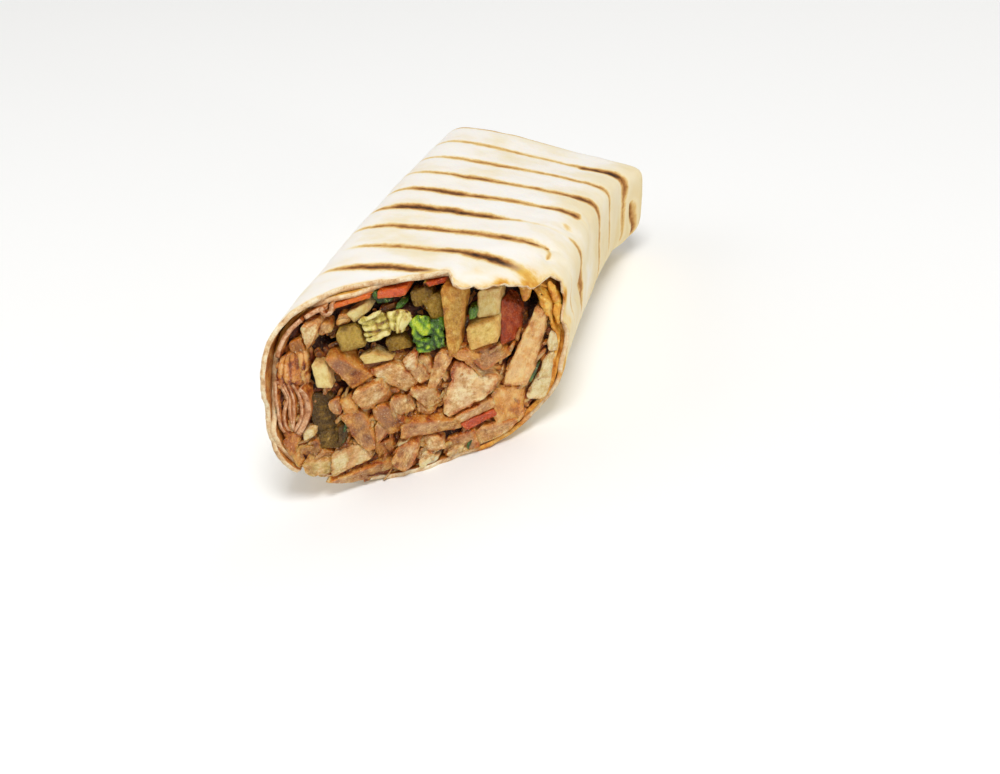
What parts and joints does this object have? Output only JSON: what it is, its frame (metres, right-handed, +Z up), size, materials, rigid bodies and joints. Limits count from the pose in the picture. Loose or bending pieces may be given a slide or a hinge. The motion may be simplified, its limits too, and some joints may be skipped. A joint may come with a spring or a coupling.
{
  "type": "gyro wrap",
  "caption": "Grilled flatbread wrap half, rolled round chicken and vegetables, folded shut at one end and cut on a slant at the other.",
  "frame": {"origin": "middle of the footprint, on the surface that the wrap rests on", "axes": "+Y along the wrap from the slanted cut to the folded end, +Z up, +X to the right as seen from the cut"},
  "size_m": [0.0584, 0.1398, 0.0467],
  "materials": {
    "bread": "matt griddled flatbread: cream with brown grill marks",
    "meat": "moist shredded chicken in a thin orange sauce",
    "lettuce": "wet green leaf",
    "cabbage": "pale yellow-green pleated leaf",
    "pickle": "wet olive-brown pickled cucumber",
    "tomato": "wet red tomato flesh",
    "carrot": "moist orange carrot",
    "fry": "soft pale yellow fried potato",
    "onion": "moist whitish onion"
  },
  "bodies": {
    "root": {"flatbread": "bread", "filling": "meat", "tomato_wedge": "tomato", "fry_block": "fry", "fry_tapered": "fry", "pickle_top_right": "pickle", "pickle_top_left": "pickle", "lettuce_light": "lettuce", "lettuce_dark": "lettuce", "lettuce_top": "lettuce", "cabbage_left": "cabbage", "cabbage_right": "cabbage", "pickle_cube_left": "pickle", "pickle_cube_right": "pickle", "potato_cube": "fry", "carrot_left": "carrot", "carrot_middle": "carrot", "carrot_right": "carrot", "carrot_low": "carrot", "fry_thin": "fry", "fry_left": "fry", "pickle_slice": "pickle", "onion_small": "onion", "onion_curved": "onion", "onion_right": "onion", "chicken_strip": "meat"}
  },
  "joints": []
}
